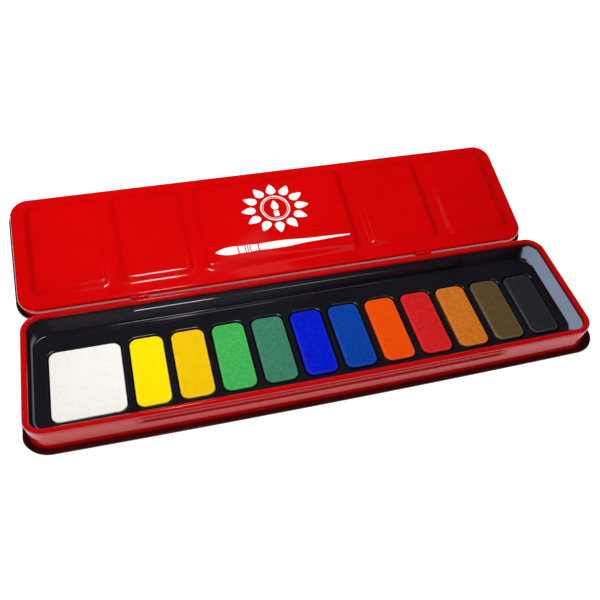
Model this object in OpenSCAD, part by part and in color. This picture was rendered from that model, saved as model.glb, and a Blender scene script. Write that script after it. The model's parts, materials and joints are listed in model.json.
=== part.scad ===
// Slim enamelled watercolour tin: black hemmed covers outside, a red wall ring with a
// rolled rim, a black stamped tray holding twelve pressed tablets, and a hinged lid whose
// red inner plate has five raised panels. Drawn open, the lid's lip just over the table.
// Origin: centre of the base's underside. +X along the tin, +Y towards the hinge, +Z up.

/* [Base] */
// Length of the base over its rolled rim (mm)
base_l = 210; // [206:1:214]
// Width of the base over its rolled rim (mm)
base_w = 52; // [51:0.5:54]
// Height of the base from the table to the top of the rim (mm)
base_h = 11; // [10.8:0.1:12]
// Corner radius of the base over its rim (mm)
corner_r = 7.2; // [6.5:0.1:8.5]
// Radius of the rolled rim (mm)
rim_r = 1.15; // [0.95:0.05:1.2]
// How far the bottom cover's flange stands out past the rim, front and back (mm)
flange_out = 2.4; // [1.5:0.1:2.6]
// How far the bottom cover's flange stands out past the rim at the two ends (mm)
flange_end_out = 3.4; // [1.5:0.1:4]
// Radius of the bottom cover's hemmed edge (mm)
flange_hem_r = 0.45; // [0.4:0.05:0.95]
// Length of the finger groove pressed into the front wall (mm)
groove_l = 137; // [60:1:160]
// Middle of the finger groove along the wall (mm)
groove_x = -1; // [-10:1:10]

/* [Tray and tablets] */
// Height of the tray's land over the table (mm)
land_z = 3.7; // [3.5:0.1:4.5]
// Height of the tablets' tops over the table (mm)
tablet_top = 4; // [3.8:0.1:4.8]
// Width of a narrow tablet (mm)
tablet_w = 12.2; // [11:0.1:12.4]
// Depth of a tablet, front to back (mm)
tablet_d = 30.2; // [28:0.1:30.6]
// Width of the double white tablet (mm)
white_w = 25.3; // [24:0.1:25.5]
// Spacing of the narrow tablets (mm)
pitch = 15.27; // [15.2:0.01:15.35]
// Left side of the white tablet (mm)
tablets_x0 = -97.1; // [-97.4:0.1:-96.6]
// Gap between the white tablet and the first narrow one (mm)
white_gap = 3.15; // [3:0.05:3.3]
// Middle of the tablets, front to back (mm)
tablets_y = -2.7; // [-3.5:0.1:-2]
// Gap between a tablet and its well (mm)
well_gap = 0.6; // [0.4:0.05:0.7]

/* [Lid] */
// Length of the lid's inner plate (mm)
lid_l = 210.4; // [207:0.2:212]
// Width of the lid's inner plate (mm)
lid_w = 51.8; // [51:0.1:52]
// Thickness of the lid (mm)
lid_t = 5.6; // [5.4:0.1:5.8]
// How far the lid cover's lip stands out past the plate (mm)
lip_out = 1.5; // [1:0.1:1.6]
// Rounding of the lid plate's edge (mm)
lid_edge_r = 1.6; // [1:0.1:1.8]
// Height of the five raised panels (mm)
panel_h = 0.8; // [0.4:0.1:1]
// Side shift of the lid along its pins, as it sits (mm)
lid_shift = -1.5; // [-1.5:0.1:1.5]
// Gap between the closed lid's plate and the rim (mm)
lid_gap = 0.1; // [0.1:0.05:0.3]

/* [Hinge] */
// Distance of the hinge axis behind the middle of the base (mm)
hinge_y = 28.6; // [28.6:0.1:28.8]
// Height of the hinge axis over the table (mm)
hinge_z = 8.15; // [8.15:0.05:8.3]
// Place of the left hinge along the tin (mm)
hinge_x_left = -62; // [-70:1:-50]
// Place of the right hinge along the tin (mm)
hinge_x_right = 54; // [45:1:65]
// How far the lid has turned from closed (degrees)
lid_open = 168; // [168]
// Outer radius of a hinge loop (mm)
loop_r = 1; // [0.9:0.05:1.1]
// Radius of a hinge pin (mm)
pin_r = 0.5; // [0.4:0.05:0.5]
// Running clearance between a pin and a lid loop (mm)
pin_play = 0.05; // [0.03:0.01:0.08]

/* [Hidden] */
$fn = 64;
sheet = 0.4;            // tin-plate thickness, enamel included
cover_sheet = 0.5;      // thickness of the two black covers
overcut = 1;            // how far a cutter passes the face it opens
cover_black = [0.05, 0.05, 0.06];
hinge_red = [0.72, 0.05, 0.06];

// An outline is a rounded rectangle: [length, width, corner radius].
function grow(outline, by) = outline + by * [2, 2, 1];

// Base
base_outline = [base_l, base_w, corner_r];
rim_z = base_h - rim_r;             // middle of the rolled rim
wall_in = 0.15;                     // wall's inset from the rim's outermost line
wall_outline = grow(base_outline, -wall_in);
wall_back = wall_outline[1] / 2;    // y of the wall's outer face at the back
groove_r = 3;                       // radius the groove is pressed with
groove_depth = 0.55;
groove_drop = 3.9;                  // from the rim's top down to the groove's middle
groove_back_d = 3;                  // depth of the room for the groove's inner skin
groove_back_h = 5;                  // and its height

// Tray and tablets
tray_in = 2 * rim_r + 0.05;         // the tray's wall stands just inside the rolled rim
tray_outline = grow(base_outline, -tray_in);
tray_z0 = cover_sheet;
well_floor = tray_z0 + sheet;
tablet_r = 3;                       // corner radius of a tablet
tablet_edge_r = 0.5;                // rounding of a tablet's top edge
last_tablet = 11;

// Lid, closed
lid_outline = [lid_l, lid_w, corner_r];
lid_hem_r = 0.6;
lid_wall_h = lid_t - cover_sheet;
lid_back_in = 0.1;                  // plate's back edge, inside the rim's
lid_y = base_w / 2 - lid_back_in - lid_w / 2;
lid_z = base_h + lid_gap;
// raised panels: left and right side of each, from the lid's middle
panels = [[-100.2, -70.2], [-66.8, -37.2], [-33.8, 32.2], [35.6, 67.4], [70.9, 100.3]];
panel_near = 5.6;                   // hinge edge to the panels' near side
panel_far = 47.6;                   // hinge edge to the panels' far side
panel_r = 3.4;
panel_edge_r = 0.35;
panel_root = 0.3;                   // how far a panel reaches back into the plate

// Hinges: at each, one lid loop between two base loops
hinge_xs = [hinge_x_left, hinge_x_right];
base_loop_w = 2;
lid_loop_w = 2.3;
loop_play = 0.15;                   // gap between neighbouring loops
base_loop_x = lid_loop_w / 2 + loop_play + base_loop_w / 2;
hinge_half_w = base_loop_x + base_loop_w / 2;
base_bore_r = pin_r + 0.02;
lid_bore_r = pin_r + pin_play;
bore_cut_l = 10;                    // length of the cutter that clears a tab from the bore
base_tab_t = 0.42;
pin_out = 0.1;                      // pin showing between the loops and its head
head_t = 0.3;
head_r = pin_r + 0.25;
crank_rise = 2.65;                  // from the plate's face to the top of the crank
crank_upright_t = 0.4;
crank_level_t = 0.45;

module rounded_rect(outline) {
    length = outline[0];
    width = outline[1];
    radius = outline[2];
    square([length - 2 * radius, width], center = true);
    square([length, width - 2 * radius], center = true);
    for (sx = [-1, 1], sy = [-1, 1])
        translate([sx * (length / 2 - radius), sy * (width / 2 - radius)]) circle(r = radius);
}

// cylinder along X, centred
module x_cylinder(radius, length) {
    rotate([0, 90, 0]) cylinder(r = radius, h = length, center = true);
}

// round bead whose centreline is the outline
module bead_loop(outline, bead_r) {
    length = outline[0];
    width = outline[1];
    radius = outline[2];
    for (side = [-1, 1]) {
        translate([0, side * width / 2, 0]) x_cylinder(bead_r, length - 2 * radius);
        translate([side * length / 2, 0, 0]) rotate([90, 0, 0])
            cylinder(r = bead_r, h = width - 2 * radius, center = true);
    }
    // corners: side in x, side in y, start angle
    for (corner = [[1, 1, 0], [-1, 1, 90], [-1, -1, 180], [1, -1, 270]])
        translate([corner[0] * (length / 2 - radius), corner[1] * (width / 2 - radius), 0])
            rotate([0, 0, corner[2]]) rotate_extrude(angle = 90)
                translate([radius, 0]) circle(r = bead_r, $fn = 48);
}

// block with upright rounded corners and a rounded top edge
module soft_block(outline, height, edge_r) {
    top = grow(outline, -edge_r);
    linear_extrude(height - edge_r) rounded_rect(outline);
    linear_extrude(height) rounded_rect(top);
    translate([0, 0, height - edge_r]) bead_loop(top, edge_r);
}

// flat cover with a hemmed, half-round edge, recessed to its sheet inside the second outline
module hemmed_cover(outline, hem_r, recess) {
    flat = grow(outline, -hem_r);
    translate([0, 0, hem_r]) bead_loop(flat, hem_r);
    difference() {
        linear_extrude(2 * hem_r) rounded_rect(flat);
        translate([0, 0, cover_sheet]) linear_extrude(2 * hem_r) rounded_rect(recess);
    }
}

module bottom_cover() {
    outline = base_outline + [2 * flange_end_out, 2 * flange_out, flange_out];
    color(cover_black) hemmed_cover(outline, flange_hem_r, wall_outline);
}

module groove_cylinder(radius) {
    translate([groove_x, groove_depth - groove_r - wall_back, base_h - groove_drop])
        x_cylinder(radius, groove_l);
}

// wall ring, rolled rim and the groove pressed into the front wall
module base_wall() {
    color([0.78, 0.05, 0.06]) difference() {
        union() {
            difference() {
                translate([0, 0, cover_sheet])
                    linear_extrude(rim_z - cover_sheet) rounded_rect(wall_outline);
                translate([0, 0, -overcut])
                    linear_extrude(base_h + 2 * overcut) rounded_rect(grow(wall_outline, -sheet));
            }
            // skin behind the groove
            intersection() {
                groove_cylinder(groove_r + sheet);
                translate([groove_x - groove_l / 2, sheet / 2 - wall_back,
                           base_h - groove_drop - groove_back_h / 2])
                    cube([groove_l, groove_back_d, groove_back_h]);
            }
            translate([0, 0, rim_z]) bead_loop(grow(base_outline, -rim_r), rim_r);
        }
        groove_cylinder(groove_r);
    }
}

// tablet 0 is the white one; the narrow ones follow towards +X
function tablet_width(i) = i == 0 ? white_w : tablet_w;
function tablet_left(i) =
    i == 0 ? tablets_x0 : tablets_x0 + white_w + white_gap + (i - 1) * pitch;
function tablet_outline(i) = [tablet_width(i), tablet_d, tablet_r];
function well_outline(i) = grow(tablet_outline(i), well_gap);

module at_tablet(i, z) {
    translate([tablet_left(i) + tablet_width(i) / 2, tablets_y, z]) children();
}

module paint_tray() {
    color([0.06, 0.06, 0.07]) {
        // land and side wall
        difference() {
            translate([0, 0, land_z - sheet])
                linear_extrude(rim_z - land_z + sheet) rounded_rect(tray_outline);
            translate([0, 0, land_z])
                linear_extrude(rim_z) rounded_rect(grow(tray_outline, -sheet));
            for (i = [0:last_tablet])
                at_tablet(i, 0) linear_extrude(land_z + overcut) rounded_rect(well_outline(i));
        }
        // the twelve wells
        for (i = [0:last_tablet]) difference() {
            at_tablet(i, tray_z0) linear_extrude(land_z - sheet / 2 - tray_z0)
                rounded_rect(grow(well_outline(i), sheet));
            at_tablet(i, well_floor) linear_extrude(land_z) rounded_rect(well_outline(i));
        }
    }
}

module tablet(i) {
    at_tablet(i, well_floor) soft_block(tablet_outline(i), tablet_top - well_floor, tablet_edge_r);
}
module white_tablet() { color([0.96, 0.95, 0.93]) tablet(0); }
module yellow_tablet() { color([0.99, 0.91, 0.02]) tablet(1); }
module gold_tablet() { color([0.96, 0.78, 0.08]) tablet(2); }
module light_green_tablet() { color([0.25, 0.71, 0.33]) tablet(3); }
module dark_green_tablet() { color([0.24, 0.51, 0.39]) tablet(4); }
module ultramarine_tablet() { color([0.02, 0.08, 0.78]) tablet(5); }
module cobalt_tablet() { color([0.05, 0.24, 0.63]) tablet(6); }
module orange_tablet() { color([0.94, 0.29, 0.02]) tablet(7); }
module red_tablet() { color([0.82, 0.12, 0.16]) tablet(8); }
module ochre_tablet() { color([0.78, 0.45, 0.12]) tablet(9); }
module umber_tablet() { color([0.33, 0.27, 0.16]) tablet(10); }
module black_tablet() { color([0.13, 0.13, 0.15]) tablet(11); }

// hinge loop, its bore along X
module loop(width, bore_r) {
    difference() {
        x_cylinder(loop_r, width);
        x_cylinder(bore_r, width + overcut);
    }
}

// two loops at each hinge, each with a tab to the back wall
module base_hinge_tabs() {
    tab_d = hinge_y - wall_back;
    color(hinge_red)
    for (x = hinge_xs, side = [-1, 1]) translate([x + side * base_loop_x, hinge_y, hinge_z]) {
        loop(base_loop_w, base_bore_r);
        difference() {
            translate([-base_loop_w / 2, -tab_d, -loop_r]) cube([base_loop_w, tab_d, base_tab_t]);
            x_cylinder(base_bore_r, bore_cut_l);
        }
    }
}

// pins with small round heads
module hinge_pins() {
    color([0.72, 0.72, 0.74])
    for (x = hinge_xs) translate([x, hinge_y, hinge_z]) {
        x_cylinder(pin_r, 2 * (hinge_half_w + pin_out));
        for (side = [-1, 1])
            translate([side * (hinge_half_w + pin_out + head_t / 2), 0, 0])
                x_cylinder(head_r, head_t);
    }
}

// turns children drawn for the closed lid about the hinge axis; their origin is on the axis
module turned_on_hinge() {
    translate([0, hinge_y, hinge_z]) rotate([-lid_open, 0, 0]) children();
}

// the closed lid's own frame: x from the lid's middle, y towards the hinge, face down at z = 0
module in_lid() {
    turned_on_hinge() translate([lid_shift, lid_y - hinge_y, lid_z - hinge_z]) children();
}

// blocks of the raised panels, standing down from the plate's face
module panel_blocks(growth) {
    for (panel = panels) {
        outline = [panel[1] - panel[0], panel_far - panel_near, panel_r];
        translate([(panel[0] + panel[1]) / 2, lid_w / 2 - (panel_near + panel_far) / 2, panel_root])
            mirror([0, 0, 1])
                soft_block(grow(outline, growth), panel_h + panel_root, panel_edge_r);
    }
}

// pan-shaped inner plate, face down when the lid is closed
module lid_plate() {
    color([0.85, 0.02, 0.02])
    in_lid() difference() {
        union() {
            translate([0, 0, lid_wall_h]) rotate([180, 0, 0])
                soft_block(lid_outline, lid_wall_h, lid_edge_r);
            panel_blocks(0);
        }
        // hollow of the pan, then of the panels
        translate([0, 0, lid_wall_h + overcut]) rotate([180, 0, 0])
            soft_block(grow(lid_outline, -sheet), lid_wall_h + overcut - sheet, lid_edge_r - sheet);
        translate([0, 0, sheet]) panel_blocks(-sheet);
    }
}

module lid_cover() {
    color(cover_black)
    in_lid() translate([0, 0, lid_t]) rotate([180, 0, 0])
        hemmed_cover(grow(lid_outline, lip_out), lid_hem_r, lid_outline);
}

// one loop at each hinge, with a cranked tab to the lid plate's back wall
module lid_hinge_tabs() {
    crank_top = lid_z + crank_rise - hinge_z;
    plate_back = lid_y + lid_w / 2 - hinge_y;
    color(hinge_red)
    turned_on_hinge() for (x = hinge_xs) translate([x, 0, 0]) {
        loop(lid_loop_w, lid_bore_r);
        difference() {
            union() {
                translate([-lid_loop_w / 2, loop_r - crank_upright_t, 0])
                    cube([lid_loop_w, crank_upright_t, crank_top]);
                translate([-lid_loop_w / 2, plate_back, crank_top - crank_level_t])
                    cube([lid_loop_w, loop_r - plate_back, crank_level_t]);
            }
            x_cylinder(lid_bore_r, bore_cut_l);
        }
    }
}

bottom_cover();
base_wall();
paint_tray();
white_tablet();
yellow_tablet();
gold_tablet();
light_green_tablet();
dark_green_tablet();
ultramarine_tablet();
cobalt_tablet();
orange_tablet();
red_tablet();
ochre_tablet();
umber_tablet();
black_tablet();
base_hinge_tabs();
hinge_pins();
lid_plate();
lid_cover();
lid_hinge_tabs();
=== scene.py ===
# A paint tin standing open on a pale floor. The base lies round the origin with its long sides
# along X, its front towards -Y and its bottom at z = 0. Twelve cakes of paint sit in a stamped
# tray. The lid turns on two hinges along the back (+Y) and lies open behind the base.
import bpy, bmesh, json, math
import numpy as np
from mathutils import Matrix, Vector, noise
from mathutils.geometry import delaunay_2d_cdt


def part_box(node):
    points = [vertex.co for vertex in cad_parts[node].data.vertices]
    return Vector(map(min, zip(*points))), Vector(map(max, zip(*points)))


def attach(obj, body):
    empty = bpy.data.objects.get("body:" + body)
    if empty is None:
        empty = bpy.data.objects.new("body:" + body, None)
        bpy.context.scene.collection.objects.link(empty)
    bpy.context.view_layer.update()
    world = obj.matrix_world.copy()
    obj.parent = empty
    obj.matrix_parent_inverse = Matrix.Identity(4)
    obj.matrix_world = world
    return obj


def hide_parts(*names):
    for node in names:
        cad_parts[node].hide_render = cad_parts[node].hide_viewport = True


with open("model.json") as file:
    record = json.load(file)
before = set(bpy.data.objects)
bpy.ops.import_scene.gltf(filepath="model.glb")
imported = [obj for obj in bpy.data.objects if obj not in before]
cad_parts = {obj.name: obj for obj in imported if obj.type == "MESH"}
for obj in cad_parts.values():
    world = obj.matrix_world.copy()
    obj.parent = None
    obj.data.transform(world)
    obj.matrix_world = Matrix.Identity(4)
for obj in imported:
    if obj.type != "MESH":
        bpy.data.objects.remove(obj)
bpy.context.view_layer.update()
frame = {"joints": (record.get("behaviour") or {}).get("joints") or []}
MM = 0.001                           # every length below is in millimetres, except on the stage


# ---------------------------------------------------------------- sizes
def box_mm(node):
    low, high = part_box(node)
    return np.array(low) / MM, np.array(high) / MM


HALF_X, HALF_Y, RIM_TOP = box_mm("base_wall")[1]     # base over its rolled rim
CORNER = 7.2                         # corner radius of base and lid
RIM_R = 1.15                         # radius of the rolled rim
RIM_Z = RIM_TOP - RIM_R
WALL_IN = 0.15                       # outer wall, in from the rim's outer line
FOOT_LEFT, FOOT_RIGHT = 3.1, 4.9     # run-in of the tray's end walls at their feet
COVER_T = 0.5                        # thickness of the flat covers

AXIS_Y, AXIS_Z = (frame["joints"][0]["pos_m"][i] / MM for i in (1, 2))
OPEN_ANGLE = math.radians(168)

# Lid pieces are drawn round the shut lid's middle, with z = 0 on its underside
plate_low, plate_high = box_mm("lid_plate")
cover_low, cover_high = box_mm("lid_cover")
LID_X = (plate_low[0] + plate_high[0]) / 2
LID_HALF_X = (plate_high[0] - plate_low[0]) / 2
LID_HALF_Y = 25.9
LID_T = 5.6
LID_Z = RIM_TOP + 0.1
LID_BACK = HALF_Y - 0.1
LIP = (cover_high[0] - cover_low[0]) / 2 - LID_HALF_X    # the lid's cover reaches past its wall
PANEL_H = 0.8                        # height of the stamped lid panels

turn_open = (Matrix.Translation((0, AXIS_Y, AXIS_Z)) @ Matrix.Rotation(-OPEN_ANGLE, 4, "X")
             @ Matrix.Translation((0, -AXIS_Y, -AXIS_Z)))
TO_OPEN = np.array(turn_open)
LID_TO_OPEN = np.array(turn_open @ Matrix.Translation((LID_X, LID_BACK - LID_HALF_Y, LID_Z)))


# ---------------------------------------------------------------- curves
def ease(t):
    t = np.clip(t, 0, 1)
    return t * t * (3 - 2 * t)


def window(value, start, rise, end, fall):
    """Eases from 0 to 1 over `rise` after start, and back to 0 over `fall` before end."""
    return ease((value - start) / rise) * ease((end - value) / fall)


def lerp(a, b, t):
    return a + (b - a) * t


def quarter(steps, first=0):
    """(sine, cosine) at even steps over a quarter turn."""
    angles = [math.pi / 2 * k / steps for k in range(first, steps + 1)]
    return [(math.sin(a), math.cos(a)) for a in angles]


def arc(centre_z, radius, start, end, steps):
    """Points of an arc round (0, centre_z), from start to end degrees."""
    angles = [math.radians(start + (end - start) * k / steps) for k in range(steps + 1)]
    return [(radius * math.cos(a), centre_z + radius * math.sin(a)) for a in angles]


def ring(half_x, half_y, radius, steps_x, steps_y, steps_corner, centre=(0.0, 0.0)):
    """Rounded rectangle, counter-clockwise. Equal steps give equal point counts at any size."""
    radius = min(max(radius, 0.02), half_x - 0.001, half_y - 0.001)
    run_x, run_y = half_x - radius, half_y - radius
    sides = [                        # start, travel, steps, centre of the corner that follows
        ((half_x, -run_y), (0, 2 * run_y), steps_y, (run_x, run_y)),
        ((run_x, half_y), (-2 * run_x, 0), steps_x, (-run_x, run_y)),
        ((-half_x, run_y), (0, -2 * run_y), steps_y, (-run_x, -run_y)),
        ((-run_x, -half_y), (2 * run_x, 0), steps_x, (run_x, -run_y)),
    ]
    points = []
    for turn, (start, travel, steps, corner) in enumerate(sides):
        for k in range(steps):
            points.append((start[0] + travel[0] * k / steps, start[1] + travel[1] * k / steps))
        for k in range(steps_corner):
            a = math.pi / 2 * (turn + k / steps_corner)
            points.append((corner[0] + radius * math.cos(a), corner[1] + radius * math.sin(a)))
    return np.array(points) + np.array(centre)


def at_z(xy, z):
    return np.column_stack([xy, np.full(len(xy), float(z))])


def bowed(points):
    """Bows the long front side: out a little right of its middle, in at the left end."""
    points = np.array(points, float)
    out = 0.45 - 1.15 * ((points[:, 0] - 15) / 110) ** 2
    points[:, 1] -= out * ease((-points[:, 1] - 19.0) / 6.5)
    return points


# ---------------------------------------------------------------- mesh helpers
class Builder:
    """Collects vertices and faces in millimetres, then makes an object of them."""

    def __init__(self):
        self.points, self.faces, self.count = [], [], 0

    def add(self, points):
        """Adds vertices and returns their ids."""
        points = np.asarray(points, float)
        first = self.count
        self.points.append(points)
        self.count += len(points)
        return np.arange(first, self.count)

    def strip(self, a, b):
        """A closed band of quads between two rings of ids."""
        n = len(a)
        for k in range(n):
            self.faces.append([a[k], a[(k + 1) % n], b[(k + 1) % n], b[k]])

    def loft(self, rings, closed=False, cap_start=False, cap_end=False):
        ids = [self.add(r) for r in rings]
        for a, b in zip(ids, ids[1:]):
            self.strip(a, b)
        if closed:
            self.strip(ids[-1], ids[0])
        if cap_start:
            self.faces.append(list(ids[0][::-1]))
        if cap_end:
            self.faces.append(list(ids[-1]))
        return ids

    def mesh(self, name, material, matrix=None, recalc=True, attributes=None, bow=False):
        points = np.concatenate(self.points)
        if bow:
            points = bowed(points)
        if matrix is not None:
            points = points @ matrix[:3, :3].T + matrix[:3, 3]
        me = bpy.data.meshes.new(name)
        me.from_pydata((points * MM).tolist(), [], [[int(i) for i in f] for f in self.faces])
        for key, values in (attributes or {}).items():
            attribute = me.attributes.new(key, "FLOAT", "POINT")
            attribute.data.foreach_set("value", np.asarray(values, np.float32))
        bm = bmesh.new()
        bm.from_mesh(me)
        bmesh.ops.remove_doubles(bm, verts=bm.verts, dist=1e-4 * MM)
        if recalc:
            bmesh.ops.recalc_face_normals(bm, faces=bm.faces)
        bm.to_mesh(me)
        bm.free()
        me.polygons.foreach_set("use_smooth", np.ones(len(me.polygons), bool))
        me.materials.append(material)
        ob = bpy.data.objects.new(name, me)
        bpy.context.scene.collection.objects.link(ob)
        return ob


def joined(builders):
    whole = Builder()
    for part in builders:
        offset = whole.count
        whole.add(np.concatenate(part.points))
        whole.faces += [[i + offset for i in f] for f in part.faces]
    return whole


def finish(ob, body, node, sharp, weighted=True):
    """Sharp edges over `sharp` degrees, and the piece's place in the frame."""
    ob.data.set_sharp_from_angle(angle=math.radians(sharp))
    if weighted:
        modifier = ob.modifiers.new("weighted", "WEIGHTED_NORMAL")
        modifier.keep_sharp = True
        modifier.weight = 60
    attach(ob, body)
    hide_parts(node)


def flat_fill(builder, loops, z, keep):
    """Triangles between closed loops of ids, where keep(x, y) is true of their centres."""
    placed = np.concatenate(builder.points)
    flat, edges, source = [], [], []
    for loop in loops:
        first, n = len(flat), len(loop)
        flat += [Vector((placed[i][0], placed[i][1])) for i in loop]
        source += list(loop)
        edges += [(first + k, first + (k + 1) % n) for k in range(n)]
    verts, _, faces, origins, _, _ = delaunay_2d_cdt(flat, edges, [], 0, 1e-4)
    known = np.array([(p.x, p.y) for p in flat])
    ids = []
    for p, origin in zip(verts, origins):
        if origin:
            ids.append(int(source[origin[0]]))
            continue
        distance = np.hypot(known[:, 0] - p.x, known[:, 1] - p.y)
        nearest = int(np.argmin(distance))
        if distance[nearest] < 2e-3:
            ids.append(int(source[nearest]))
        else:
            ids.append(int(builder.add([(p.x, p.y, z)])[0]))
    for tri in faces:
        x = sum(verts[i].x for i in tri) / len(tri)
        y = sum(verts[i].y for i in tri) / len(tri)
        face = [ids[i] for i in tri]
        if keep(x, y) and len(set(face)) == len(face):
            builder.faces.append(face)


def inside(x, y, polygon):
    a, b = polygon, np.roll(polygon, -1, 0)
    spans = (a[:, 1] > y) != (b[:, 1] > y)
    with np.errstate(divide="ignore", invalid="ignore"):
        crossing = (b[:, 0] - a[:, 0]) * (y - a[:, 1]) / (b[:, 1] - a[:, 1]) + a[:, 0]
    return (np.sum(spans & (x < crossing)) % 2) == 1


# ---------------------------------------------------------------- material helpers
def rgb(r, g, b):
    return (r, g, b, 1.0)


def srgb(r, g, b, scale=1.0):
    """Linear colour from 0-255 sRGB, times scale."""
    def linear(c):
        c /= 255.0
        return c / 12.92 if c <= 0.04045 else ((c + 0.055) / 1.055) ** 2.4
    return rgb(linear(r) * scale, linear(g) * scale, linear(b) * scale)


class MaterialTree:
    """A material and short ways to add nodes. Inputs take a socket or a plain value."""

    def __init__(self, name):
        self.material = bpy.data.materials.new(name)
        self.material.use_nodes = True
        self.tree = self.material.node_tree
        self.tree.nodes.clear()
        self.output = self.new("ShaderNodeOutputMaterial")
        self.position = self.new("ShaderNodeTexCoord").outputs["Object"]

    def new(self, kind, **settings):
        node = self.tree.nodes.new(kind)
        for key, value in settings.items():
            setattr(node, key, value)
        return node

    def put(self, socket, value):
        if hasattr(value, "is_linked"):
            self.tree.links.new(value, socket)
        else:
            socket.default_value = value

    def noise(self, size, offset=(0, 0, 0), detail=2, rough=0.5, stretch=(1, 1, 1), distort=0):
        """Noise whose features are about size millimetres across."""
        mapping = self.new("ShaderNodeMapping")
        self.put(mapping.inputs["Vector"], self.position)
        mapping.inputs["Scale"].default_value = [1000.0 / size * s for s in stretch]
        mapping.inputs["Location"].default_value = offset
        node = self.new("ShaderNodeTexNoise")
        self.put(node.inputs["Vector"], mapping.outputs[0])
        node.inputs["Scale"].default_value = 1.0
        node.inputs["Detail"].default_value = detail
        node.inputs["Roughness"].default_value = rough
        node.inputs["Distortion"].default_value = distort
        return node.outputs["Fac"]

    def ramp(self, value, span, to=(0.0, 1.0)):
        """Maps the range `span` onto the range `to`, clamped."""
        node = self.new("ShaderNodeMapRange", clamp=True)
        self.put(node.inputs["Value"], value)
        for key, number in zip(("From Min", "From Max", "To Min", "To Max"), (*span, *to)):
            node.inputs[key].default_value = number
        return node.outputs[0]

    def math(self, operation, a, b, clamp=False):
        node = self.new("ShaderNodeMath", operation=operation, use_clamp=clamp)
        self.put(node.inputs[0], a)
        self.put(node.inputs[1], b)
        return node.outputs[0]

    def plus(self, a, b):
        return self.math("ADD", a, b)

    def times(self, a, b, clamp=False):
        return self.math("MULTIPLY", a, b, clamp)

    def mix(self, amount, a, b, blend="MIX"):
        node = self.new("ShaderNodeMix", data_type="RGBA", blend_type=blend)
        for index, value in ((0, amount), (6, a), (7, b)):
            self.put(node.inputs[index], value)
        return node.outputs[2]

    def attribute(self, name):
        return self.new("ShaderNodeAttribute", attribute_name=name).outputs["Fac"]

    def bump(self, height, depth, strength=1.0):
        """Bump of `depth` millimetres."""
        node = self.new("ShaderNodeBump")
        self.put(node.inputs["Height"], height)
        node.inputs["Distance"].default_value = depth * MM
        node.inputs["Strength"].default_value = strength
        return node.outputs[0]

    def bsdf(self, color, rough, **inputs):
        """Principled shader. Further inputs are named with _ for a space."""
        node = self.new("ShaderNodeBsdfPrincipled")
        self.put(node.inputs["Base Color"], color)
        self.put(node.inputs["Roughness"], rough)
        for key, value in inputs.items():
            self.put(node.inputs[key.replace("_", " ")], value)
        return node.outputs[0]

    def glowing(self, shader, color, strength):
        """The shader with emission added to it."""
        emission = self.new("ShaderNodeEmission")
        emission.inputs["Color"].default_value = color
        self.put(emission.inputs["Strength"], strength)
        node = self.new("ShaderNodeAddShader")
        self.put(node.inputs[0], shader)
        self.put(node.inputs[1], emission.outputs[0])
        return node.outputs[0]

    def done(self, shader):
        self.put(self.output.inputs["Surface"], shader)
        return self.material


# ---------------------------------------------------------------- materials
def enamel(name, base, deep, rough, seed, spec=0.5, coat=0.25, shade_bends=False):
    """Gloss enamel: slow colour variation, orange peel, rub marks and a little dust; with
    shade_bends, painted shade in the pressed bends.
    """
    mat = MaterialTree(name)
    slow = mat.noise(38, (seed, 3.1, 0))
    fine = mat.noise(0.45, (0, seed, 1), rough=0.6)
    color = mat.mix(mat.ramp(slow, (0.35, 0.65)), base, deep)
    color = mat.mix(mat.ramp(fine, (0.30, 0.70), to=(0, 0.06)), color, rgb(0, 0, 0))
    if shade_bends:                  # painted shade: darkened where the `bend` attribute marks the pressed bends
        painted_bend_shade = mat.times(mat.attribute("bend"), 0.30)
        color = mat.mix(painted_bend_shade, color, rgb(base[0] * 0.30, 0, 0))
    dust = mat.ramp(mat.noise(0.30, (seed, 9, 2), detail=1), (0.82, 0.88), to=(0, 0.10))
    color = mat.mix(dust, color, rgb(0.30, 0.29, 0.28))
    # fine rubbed lines and broad smears vary the gloss; dust dulls it
    rub = mat.noise(0.5, (seed, 1, 4), detail=3, rough=0.7, stretch=(1, 0.05, 1), distort=0.3)
    smear = mat.noise(11, (3, seed, 4), detail=3, rough=0.6)
    roughness = mat.plus(mat.ramp(smear, (0.35, 0.7), to=(rough * 0.8, rough * 1.35)),
                         mat.ramp(rub, (0.62, 0.75), to=(0, 0.06)))
    roughness = mat.plus(roughness, mat.times(dust, 0.6))
    # orange peel over a slower wave
    height = mat.plus(mat.times(mat.noise(1.3, (seed, 5, 5)), 0.6),
                      mat.times(mat.noise(6.0, (seed, 6, 6), detail=1), 2.2))
    normal = mat.bump(height, depth=0.0035)
    return mat.done(mat.bsdf(color, roughness, Specular_IOR_Level=spec, Coat_Weight=coat,
                             Coat_Roughness=0.06, Normal=normal, Coat_Normal=normal))


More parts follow.
